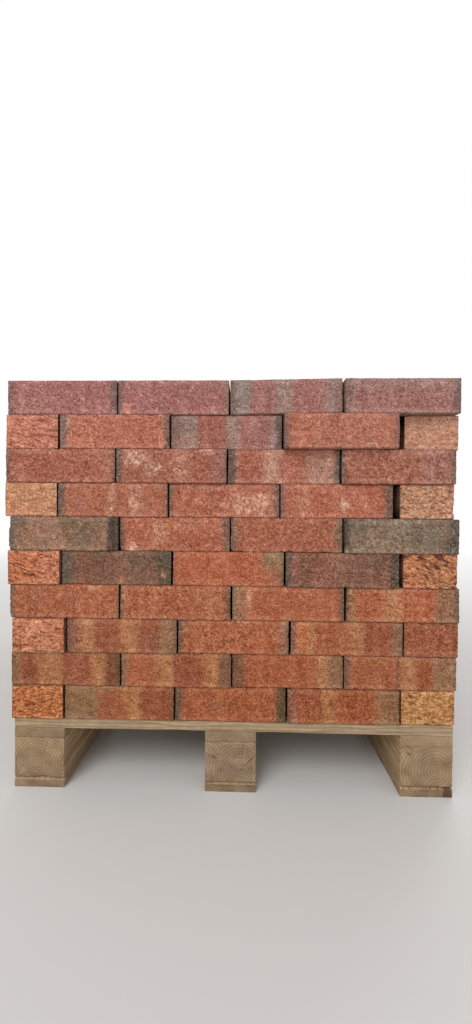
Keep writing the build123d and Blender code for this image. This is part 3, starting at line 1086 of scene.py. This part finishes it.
def skin_map(group):
    """The map of a group of solids: one rectangle for each side, on shelves."""
    sides = range(len(MAP_AXES))
    scales = [[1.0 if side in seen else HIDDEN_SCALE for side in sides] for _, seen, _ in group]
    sizes = np.array([brick.size[axes] * scale for (brick, _, _), row in zip(group, scales)
                      for axes, scale in zip(MAP_AXES, row)])
    corners, unit = shelved(sizes)
    corners = corners.reshape(len(group), len(MAP_AXES), 2)
    uvs = []
    for (brick, _, skin), row, low in zip(group, scales, corners):
        flat = skin.points[skin.loops]
        uv = np.empty((len(flat), 2))
        for side, axes in enumerate(MAP_AXES):
            mine = skin.plane == side
            uv[mine] = low[side] + (flat[mine][:, axes] + brick.size[axes] / 2) * unit * row[side]
        uvs.append(uv)
    return np.concatenate(uvs)


# %% [markdown]
# ## Making the pieces
# All bricks of a piece are joined as arrays first and shaped in one go, because noise on one long array is
# far quicker than on four hundred short ones. Each brick reads the noise at its own shifted place, so that
# no pattern runs on into its neighbour. The front row of each course is one piece and the rest another.

# %% Build a piece of bricks
SHIFT, SHIFT_COUNT = np.array([311.7, 173.3, 97.9]), 89


def put_mesh(name, points, loops, starts, smooth, colours, uv, material, vectors):
    """A mesh object from whole arrays, with the colour of each point, its own map for baking, and a vector
    at each point that the material reads by the name that it has in the dictionary vectors."""
    mesh = bpy.data.meshes.new(name)
    mesh.vertices.add(len(points))
    mesh.vertices.foreach_set("co", (points * MM).astype(np.float32).reshape(-1))
    mesh.loops.add(len(loops))
    mesh.loops.foreach_set("vertex_index", loops.astype(np.int32))
    mesh.polygons.add(len(starts))
    mesh.polygons.foreach_set("loop_start", starts.astype(np.int32))
    mesh.polygons.foreach_set("use_smooth", smooth)
    mesh.update(calc_edges=True)
    scene_colours = np.column_stack([linear(np.clip(colours, 0, 255)), np.ones(len(colours))])
    paint = mesh.attributes.new("paint", "FLOAT_COLOR", "POINT")
    paint.data.foreach_set("color", scene_colours.astype(np.float32).reshape(-1))
    for attribute, values in vectors.items():
        mesh.attributes.new(attribute, "FLOAT_VECTOR", "POINT").data.foreach_set(
            "vector", values.astype(np.float32).reshape(-1))
    layer = mesh.uv_layers.new(name="OFBake")
    layer.uv.foreach_set("vector", uv.astype(np.float32).reshape(-1))
    mesh.materials.append(material)
    piece = bpy.data.objects.new(name, mesh)
    scene.collection.objects.link(piece)
    mesh.calc_loop_triangles()
    print(name, len(mesh.loop_triangles), "triangles")
    return piece


def joined_skins(group):
    """The polygons of a group as one: its corner indices, where each polygon starts, and which are smooth,
    which are those with four corners."""
    first = np.cumsum([0] + [len(skin.points) for _, _, skin in group])
    loops = np.concatenate([skin.loops + start for (_, _, skin), start in zip(group, first)])
    first = np.cumsum([0] + [len(skin.loops) for _, _, skin in group])
    starts = np.concatenate([skin.starts + start for (_, _, skin), start in zip(group, first)])
    return loops, starts, np.diff(np.append(starts, len(loops))) == 4


def build_bricks(name, number, first, last, material):
    """One piece from the bricks first to last of a course."""
    group = skins[number][first:last]
    counts = [len(skin.points) for _, _, skin in group]
    ends = np.cumsum(counts)
    slices = [slice(end - count, end) for end, count in zip(ends, counts)]
    faces = [faces_for(number, first + i, brick) for i, (brick, _, _) in enumerate(group)]
    flat = np.concatenate([skin.points for _, _, skin in group])
    half = np.repeat([brick.size / 2 for brick, _, _ in group], counts, axis=0)
    shift = [brick.centre + SHIFT * (brick.seed % SHIFT_COUNT) for brick, _, _ in group]
    place = flat + np.repeat(shift, counts, axis=0)
    radius = clay_wear(place)
    rounded, way = worn(flat, half, radius, number == TOP_COURSE)
    along = np.repeat([1 if is_header(brick) else 0 for brick, _, _ in group], counts)
    endness = np.take_along_axis(way, along[:, None], axis=1)[:, 0] ** 2
    coarse = endness * np.repeat([end_face.coarse for _, end_face in faces], counts)
    slope = np.repeat([end_face.slope for _, end_face in faces], counts)
    depth, tear, lump = relief(place, way, coarse, slope)
    shaped = rounded - way * depth[:, None]
    in_view = np.repeat([bool(seen) for _, seen, _ in group], counts)
    seated(shaped, flat, half, radius, in_view, number == TOP_COURSE)
    colours = np.empty((len(flat), 3))
    for (brick, seen, _), mine, pair in zip(group, slices, faces):
        torn = tear[mine], lump[mine], coarse[mine]
        colours[mine] = painted(brick, seen, flat[mine], place[mine], endness[mine], torn, pair, number)
        if brick.lean:
            shaped[mine] = shaped[mine] @ np.array(Matrix.Rotation(-brick.lean, 3, "Y")).T
        shaped[mine] += brick.centre
    finish = np.column_stack([coarse, slope, np.full(len(flat), speck_share(number))])
    uv = skin_map(group)
    piece = put_mesh(name, shaped, *joined_skins(group), colours, uv, material, {"finish": finish})
    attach(piece, "root")
    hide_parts(COURSES[number])


# %% [markdown]
# ## The finish of fired clay
# The points carry the bands and blotches. What is finer than the grid is done in the shader: a sandy
# grain, pale and dark grit in Voronoi cells, and a bump from the same grain, so that the light finds what
# the colour shows. Grit and mottling are groups, because the timber uses them too, for the dirt in its
# pores and the clouds of its grey.

# %% Shader groups
EYE_POWER, DARKEST = 0.58, (0.001, 0.001, 0.001)
MOTTLE_DETAIL, MOTTLE_ROUGHNESS = 3.0, 0.6
TEAR_CELLS, TEAR_DETAIL, TEAR_BOUNDS = (105.0, 105.0, 480.0), 1.5, (0.54, 0.68)


def stepped(tree, colour, step):
    """Nodes that make a colour lighter by a step, or darker, by as much in red as in green and blue when
    seen, so that grain keeps the hue. In scene colours that adds the colour to the power 0.58 times the
    step."""
    eye = add_node(tree, "Gamma", colour, EYE_POWER).outputs["Color"]
    scaled = add_node(tree, "VectorMath", eye, operation="SCALE", Scale=step).outputs["Vector"]
    moved = add_node(tree, "VectorMath", colour, scaled, operation="ADD").outputs["Vector"]
    return add_node(tree, "VectorMath", moved, DARKEST, operation="MAXIMUM").outputs["Vector"]


def mixed_colour(tree, share, colour, tone, strength):
    """A colour with a tone laid over it by a share times a strength."""
    mix = add_node(tree, "Mix", calc(tree, "MULTIPLY", share, strength), data_type="RGBA")
    fill(tree, mix.inputs[6], colour)
    fill(tree, mix.inputs[7], rgba(tone))
    return mix.outputs[2]


def cell_middles(tree, vector, scale, share, radius):
    """The middles of Voronoi cells out to a radius, in the share of the cells that their own random colour
    picks."""
    cells = add_node(tree, "TexVoronoi", Vector=vector, Scale=scale).outputs
    draw = add_node(tree, "SeparateColor", cells["Color"]).outputs["Red"]
    near = smooth_step(tree, cells["Distance"], 0.0, radius, 1.0, 0.0)
    return calc(tree, "MULTIPLY", near, calc(tree, "LESS_THAN", draw, share))


def grit_group():
    """Grit: a round grain in the middle of each Voronoi cell that is picked. Puts out where grains are."""
    group, given, made = new_group("grit", [
        ("Vector", "Vector", None), ("Scale", "Float", 200.0), ("Share", "Float", 0.3),
        ("Radius", "Float", 0.3),
    ], [("Mask", "Float")])
    grains = cell_middles(group, given["Vector"], given["Scale"], given["Share"], given["Radius"])
    fill(group, made["Mask"], grains)
    return group


def mottle_group():
    """Mottling: noise of the given scale makes the colour lighter and darker by the given amount, in even
    steps, and comes out as a height too."""
    group, given, made = new_group("mottle", [
        ("Vector", "Vector", None), ("Color", "Color", (1, 1, 1, 1)), ("Scale", "Float", 300.0),
        ("Amount", "Float", 0.3),
    ], [("Color", "Color"), ("Height", "Float")])
    height = noise_height(group, given["Vector"], given["Scale"], MOTTLE_DETAIL, MOTTLE_ROUGHNESS)
    step = calc(group, "MULTIPLY", calc(group, "SUBTRACT", height, 0.5), given["Amount"])
    fill(group, made["Color"], stepped(group, given["Color"], step))
    fill(group, made["Height"], height)
    return group


def torn_group():
    """Fine dashes where a wire tore the clay: noise whose cells are nearly five times as long as they are
    high, sheared by the slope in the finish vector's y and weighed by how torn the place is, its x."""
    group, given, made = new_group(
        "torn_clay", [("Vector", "Vector", None), ("Finish", "Vector", None)], [("Mask", "Float")])
    place = add_node(group, "SeparateXYZ", given["Vector"]).outputs
    finish = add_node(group, "SeparateXYZ", given["Finish"]).outputs
    sheared = calc(group, "MULTIPLY_ADD", calc(group, "ADD", place["X"], place["Y"]), finish["Y"], place["Z"])
    bent = add_node(group, "CombineXYZ", place["X"], place["Y"], sheared).outputs["Vector"]
    height = noise_height(group, scaled_place(group, bent, TEAR_CELLS), 1.0, TEAR_DETAIL)
    dash = smooth_step(group, height, *TEAR_BOUNDS)
    fill(group, made["Mask"], calc(group, "MULTIPLY", dash, finish["X"]))
    return group


GRIT, MOTTLE, TORN = grit_group(), mottle_group(), torn_group()


def read_vector(tree, name):
    """What the points of a mesh hold under a name, as a vector or a colour."""
    return add_node(tree, "Attribute", attribute_name=name).outputs


def set_surface(tree, colour, roughness, height, bump_strength, bump_depth, gloss):
    """The shader of a rough solid, with a height that the light feels as a bump."""
    bump = add_node(tree, "Bump", Strength=bump_strength, Distance=bump_depth, Height=height)
    shader = add_node(tree, "BsdfPrincipled", Base_Color=colour, Roughness=roughness,
                      Specular_IOR_Level=gloss, Normal=bump.outputs["Normal"])
    add_node(tree, "OutputMaterial", shader.outputs["BSDF"])


# %% Fired clay
LEVEL_STRETCH = (0.6, 0.6, 1.25)
WIDE_GRAIN, FINE_GRAIN = {"Scale": 210.0, "Amount": 0.39}, {"Scale": 340.0, "Amount": 1.55}
PALE_GRIT = {"Scale": 165.0, "Share": 0.34, "Radius": 0.34}
DARK_GRIT = {"Scale": 200.0, "Share": 0.3, "Radius": 0.42}
# How much pale grit lightens, how much dark grit darkens, and how dark the painted shade of the tear gets.
PALE_STEP, DARK_STEP, TEAR_SHADE_STRENGTH = 0.49, -0.28, 0.7
CLAY_ROUGHNESS = (0.78, 0.98)
FINE_HEIGHT, CLAY_BUMP, CLAY_BUMP_DEPTH, CLAY_GLOSS = 1.6, 0.8, 0.0011, 0.25


def clay_material():
    """Fired clay: the painted colour, mottled twice, with pale and dark grit, and painted shade in the fine
    dashes of the tear. The bump comes from the mottling, the dark grit and the tear."""
    material = bpy.data.materials.new("fired_clay")
    tree = empty_tree(material)
    where = add_node(tree, "TexCoord").outputs["Object"]
    finish = read_vector(tree, "finish")["Vector"]
    wide = use_group(tree, MOTTLE, Vector=scaled_place(tree, where, LEVEL_STRETCH),
                     Color=read_vector(tree, "paint")["Color"], **WIDE_GRAIN)
    fine = use_group(tree, MOTTLE, Vector=where, Color=wide["Color"], **FINE_GRAIN)
    pale = use_group(tree, GRIT, Vector=where, **PALE_GRIT)["Mask"]
    dark = use_group(tree, GRIT, Vector=where, **DARK_GRIT)["Mask"]
    torn = use_group(tree, TORN, Vector=where, Finish=finish)["Mask"]
    pale = calc(tree, "MULTIPLY", pale, add_node(tree, "SeparateXYZ", finish).outputs["Z"])
    colour = stepped(tree, fine["Color"], calc(tree, "MULTIPLY", pale, PALE_STEP))
    colour = stepped(tree, colour, calc(tree, "MULTIPLY", dark, DARK_STEP))
    # Painted shade: the fine dashes of the tear, which the bump also sinks, turn dark brown.
    colour = mixed_colour(tree, torn, colour, CREASE_SHADE, TEAR_SHADE_STRENGTH)
    rough = add_node(tree, "MapRange", wide["Height"], 0.0, 1.0, *CLAY_ROUGHNESS).outputs["Result"]
    height = calc(tree, "MULTIPLY_ADD", fine["Height"], FINE_HEIGHT, wide["Height"])
    height = calc(tree, "SUBTRACT", calc(tree, "SUBTRACT", height, dark), torn)
    set_surface(tree, colour, rough, height, CLAY_BUMP, CLAY_BUMP_DEPTH, CLAY_GLOSS)
    return material


clay = clay_material()
for number, faces_in_front in FRONT_FACES.items():
    in_front = len(faces_in_front)
    build_bricks(f"{COURSES[number]}_front", number, 0, in_front, clay)
    build_bricks(f"{COURSES[number]}_behind", number, in_front, len(skins[number]), clay)

# %% [markdown]
# ## The timber of the pallet
# Sawn softwood is cut out of a tree, so its grain is a solid thing: the rings are circles about the pith,
# and a board shows them as lines on its faces and as arcs on its ends. Each point therefore keeps its place
# in the tree, measured along the board and away from a pith that is drawn for each board, and the shader
# works out rings, fibres and knots from that place. The mesh has the worn arrises, the saw's ripple and the
# splinters.

# %% Shape of a board
TIMBER_STEP, LENGTH_STEP = 6.5, 15.0
GRAIN_AXIS = {"deck_board": 0, "stringer_board": 1, "block": 1, "skid": 1}
PITH_DEPTH = {"deck_board": 46.0, "stringer_board": 38.0, "block": 12.0, "skid": 52.0}
TREE_LENGTH, PITH_BESIDE, PITH_UNDER = 9000.0, (-0.3, 0.3), (0.6, 1.4)
BOARD_WEAR_LEAST, BOARD_WEAR_MORE, BOARD_WEAR = 0.5, 1.5, Noise(40.0, 61)
SPLINTER_DEPTH, SPLINTERS = 4.5, Noise((70.0, 14.0, 14.0), 62, 2, 0.68, 0.86)
WEAR_LIMIT = 0.4
RIPPLE_DEPTH, RIPPLE_PITCH, RIPPLE_BEND, RIPPLES = 0.3, 6.5, 4.0, Noise(60.0, 63)
FIBRE_DEPTH, FIBRES = 0.5, Noise((70.0, 3.4, 3.4), 64)
FUZZ_DEPTH, FUZZ = 0.8, Noise(7.0, 66)
SKID_BEVEL = 6.0


def timber_body(node):
    """The box of a pallet node as a solid with a centre and a size in millimetres."""
    low, high = (np.array(corner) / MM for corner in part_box(node))
    return Brick((low + high) / 2, high - low, 0.0, sum(map(ord, node)))


def tree_place(points, body, kind, axis):
    """Each point's place in the tree: how far along the board, and how far beside and above the pith, which
    lies under the board or, in a block, near its middle."""
    draw = np.random.default_rng(body.seed)
    beside = draw.uniform(*PITH_BESIDE) * body.size[1 - axis]
    under = PITH_DEPTH[kind] * draw.uniform(*PITH_UNDER)
    along = points[:, axis] + draw.uniform(0, TREE_LENGTH)
    return np.column_stack([along, points[:, 1 - axis] - beside, points[:, 2] + under])


def shaped_timber(points, body, kind, axis, tree):
    """Wears and ripples a board. The saw leaves a sine ripple across the grain, the fibres stand out in
    noise drawn out along it, and the ends are fuzzy. Returns the points and how much each lies on an end."""
    half = body.size / 2
    radius = BOARD_WEAR_LEAST + BOARD_WEAR_MORE * noise(tree, BOARD_WEAR)
    radius += SPLINTER_DEPTH * noise(tree, SPLINTERS)
    rounded, way = worn(points, half, np.minimum(radius, WEAR_LIMIT * half.min()))
    on_end = way[:, axis] ** 2
    wave = np.sin(2 * np.pi * tree[:, 0] / RIPPLE_PITCH + RIPPLE_BEND * noise(tree, RIPPLES))
    on_side = RIPPLE_DEPTH * (1 + wave) / 2 + FIBRE_DEPTH * noise(tree, FIBRES)
    depth = (1 - on_end) * on_side + on_end * FUZZ_DEPTH * noise(tree, FUZZ)
    shaped = rounded - way * depth[:, None]
    if kind == "skid":
        to_end = half[axis] - np.abs(points[:, axis])
        shaped[:, 2] = np.minimum(shaped[:, 2], half[2] - np.maximum(SKID_BEVEL - to_end, 0.0))
    return shaped, on_end


# %% [markdown]
# ## The colour of old softwood
# New pine is straw-coloured. Rain and sun turn it grey from outside, soil and tyre marks darken what is
# low, and the ends drink most, so they are the darkest. That slow change is painted on the points, board by
# board.

# %% Paint a board
STRAW, SILVER, SOILED, SPLIT_DARK = (212, 178, 132), (184, 165, 141), (124, 101, 80), (58, 44, 34)
GREY_LEAST, GREY_MOST, GREY_CLOUD, CLOUDS = 0.15, 0.75, 0.5, Noise((160.0, 40.0, 40.0), 71, 3)
SOIL_HEIGHT, SOIL_ALL, SOIL_LOW, SOIL_END, SOIL_MOST = 130.0, 0.15, 0.35, 0.3, 0.85
SOIL_STRENGTH, SOIL = 1.3, Noise((60.0, 18.0, 18.0), 72, 3)
BRIGHTNESS, PAINT_SEED = (0.92, 1.05), 7


def painted_timber(body, shaped, tree, on_end):
    """The display colour of each point: straw to silver by the board and by noise, and soil from the floor
    up and on the ends."""
    draw = np.random.default_rng(body.seed + PAINT_SEED)
    grey = np.clip(draw.uniform(GREY_LEAST, GREY_MOST) + GREY_CLOUD * swing(tree, CLOUDS), 0, 1)
    low_down = 1.0 - ramp(shaped[:, 2] + body.centre[2], 0.0, SOIL_HEIGHT)
    soil = SOIL_STRENGTH * (SOIL_ALL + SOIL_LOW * low_down + SOIL_END * on_end) * noise(tree, SOIL)
    colour = laid(np.array(STRAW, float), SILVER, grey)
    return laid(colour, SOILED, np.clip(soil, 0, SOIL_MOST)) * draw.uniform(*BRIGHTNESS)


# %% Timber grain
SLOW_SCALE, FIBRE_SCALE, KNOT_SCALE = (3.0, 14.0, 14.0), (14.0, 520.0, 520.0), (4.5, 15.0, 3.0)
KNOT_RADIUS, KNOT_CORE = 0.45, (0.62, 0.8)
RING_BEND, KNOT_LIFT = 0.014, 0.016
RING_RISE, RING_FALL = (0.25, 0.9), (0.92, 1.0)
ACROSS = (0.0, 1.0, 1.0)
CRACK_SCALE, CRACK_DETAIL, CRACK_WIDTH, CRACK_GATE = (0.9, 3.4, 3.0), 0.6, 0.012, (0.5, 0.6)


def grain_group():
    """Rings, fibres and knots of softwood from a place in the tree. The radius from the pith, bent by slow
    noise and lifted round the knots, is cut into rings, each dark at its outer side. Fibres are noise drawn
    out along the board. A knot is the middle of an oval Voronoi cell, in the cells that are picked. Cracks
    run out from the pith: they lie where noise of the angle about it is close to a half, and open here and
    there."""
    group, given, made = new_group("softwood", [
        ("Vector", "Vector", None), ("Rings per Metre", "Float", 210.0), ("Knot Share", "Float", 0.3),
    ], [("Rings", "Float"), ("Fibres", "Float"), ("Knots", "Float"), ("Cracks", "Float")])
    place = given["Vector"]
    bend = noise_height(group, scaled_place(group, place, SLOW_SCALE), scale=1.0, detail=2.0)
    drawn_out = scaled_place(group, place, FIBRE_SCALE)
    fibres = noise_height(group, drawn_out, scale=1.0, detail=3.0, roughness=0.6)
    knots = cell_middles(group, scaled_place(group, place, KNOT_SCALE), 1.0, given["Knot Share"], KNOT_RADIUS)
    flat = add_node(group, "VectorMath", place, ACROSS, operation="MULTIPLY").outputs["Vector"]
    radius = add_node(group, "VectorMath", flat, operation="LENGTH").outputs["Value"]
    bent = calc(group, "MULTIPLY_ADD", bend, RING_BEND, radius)
    lifted = calc(group, "MULTIPLY_ADD", knots, KNOT_LIFT, bent)
    ring = calc(group, "FRACT", calc(group, "MULTIPLY", lifted, given["Rings per Metre"]))
    rise, fall = smooth_step(group, ring, *RING_RISE), smooth_step(group, ring, *RING_FALL, 1.0, 0.0)
    parts = add_node(group, "SeparateXYZ", place).outputs
    angle = calc(group, "ARCTAN2", parts["Z"], parts["Y"])
    spoke = add_node(group, "CombineXYZ", parts["X"], angle, radius).outputs["Vector"]
    spokes = noise_height(group, scaled_place(group, spoke, CRACK_SCALE), 1.0, CRACK_DETAIL)
    from_half = calc(group, "ABSOLUTE", calc(group, "SUBTRACT", spokes, 0.5))
    crack = smooth_step(group, from_half, 0.0, CRACK_WIDTH, 1.0, 0.0)
    fill(group, made["Rings"], calc(group, "MULTIPLY", rise, fall))
    fill(group, made["Fibres"], fibres)
    fill(group, made["Knots"], smooth_step(group, knots, *KNOT_CORE))
    fill(group, made["Cracks"], calc(group, "MULTIPLY", smooth_step(group, bend, *CRACK_GATE), crack))
    return group


SOFTWOOD = grain_group()
LATE_WOOD, KNOT_BROWN, FIBRE_DARK = (126, 92, 62), (86, 56, 38), (96, 76, 60)
TIMBER_MOTTLE = {"Scale": 60.0, "Amount": 0.38}
PORE_DIRT = {"Scale": 260.0, "Share": 0.14, "Radius": 0.4}
DARK_FIBRES = (0.42, 0.72)
RING_STRENGTH, FIBRE_STRENGTH, KNOT_STRENGTH, DIRT_STRENGTH, CRACK_STRENGTH = 0.45, 0.4, 0.85, 0.3, 0.85
TIMBER_ROUGHNESS = (0.92, 0.68)
RING_HEIGHT, TIMBER_BUMP, TIMBER_BUMP_DEPTH, TIMBER_GLOSS = 0.7, 0.7, 0.0009, 0.3


def timber_material(name, rings, knots):
    """Weathered softwood: the painted colour with dark late wood, dark fibres, knots, dirt and cracks."""
    material = bpy.data.materials.new(name)
    tree = empty_tree(material)
    place = read_vector(tree, "grain")["Vector"]
    grain = use_group(tree, SOFTWOOD, **{"Vector": place, "Rings per Metre": rings, "Knot Share": knots})
    dirt = use_group(tree, GRIT, Vector=place, **PORE_DIRT)["Mask"]
    colour = use_group(
        tree, MOTTLE, Vector=place, Color=read_vector(tree, "paint")["Color"], **TIMBER_MOTTLE)["Color"]
    dark_fibre = smooth_step(tree, grain["Fibres"], *DARK_FIBRES)
    for share, tone, strength in (
            (grain["Rings"], LATE_WOOD, RING_STRENGTH), (dark_fibre, FIBRE_DARK, FIBRE_STRENGTH),
            (grain["Knots"], KNOT_BROWN, KNOT_STRENGTH), (dirt, SPLIT_DARK, DIRT_STRENGTH),
            (grain["Cracks"], SPLIT_DARK, CRACK_STRENGTH)):
        colour = mixed_colour(tree, share, colour, tone, strength)
    rough = add_node(tree, "MapRange", grain["Rings"], 0.0, 1.0, *TIMBER_ROUGHNESS).outputs["Result"]
    height = calc(tree, "MULTIPLY", grain["Rings"], RING_HEIGHT)
    height = calc(tree, "SUBTRACT", calc(tree, "SUBTRACT", height, dark_fibre), grain["Cracks"])
    set_surface(tree, colour, rough, height, TIMBER_BUMP, TIMBER_BUMP_DEPTH, TIMBER_GLOSS)
    return material


# %% Build the pallet
PALLET_PIECES = {"deck_boards": "deck_board", "stringer_boards": "stringer_board", "blocks": "block",
                 "skids": "skid"}
board_timber = timber_material("board_timber", rings=230.0, knots=0.5)
block_timber = timber_material("block_timber", rings=170.0, knots=0.2)


def build_timber(name, kind, material):
    """One piece from all the pallet nodes of a kind."""
    members = sorted(node for node in nodes if node.startswith(kind))
    axis = GRAIN_AXIS[kind]
    steps = [TIMBER_STEP] * 3
    if kind != "block":
        steps[axis] = LENGTH_STEP
    group, shapes, colours, trees = [], [], [], []
    for node in members:
        body = timber_body(node)
        skin = box_skin([grid_lines(size, step) for size, step in zip(body.size, steps)])
        tree = tree_place(skin.points, body, kind, axis)
        shaped, on_end = shaped_timber(skin.points, body, kind, axis, tree)
        colours.append(painted_timber(body, shaped, tree, on_end))
        shapes.append(shaped + body.centre)
        trees.append(tree)
        group.append((body, set(range(6)), skin))
    piece = put_mesh(name, np.concatenate(shapes), *joined_skins(group), np.concatenate(colours),
                     skin_map(group), material, {"grain": np.concatenate(trees) * MM})
    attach(piece, "root")
    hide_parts(*members)


for name, kind in PALLET_PIECES.items():
    build_timber(name, kind, block_timber if kind == "block" else board_timber)
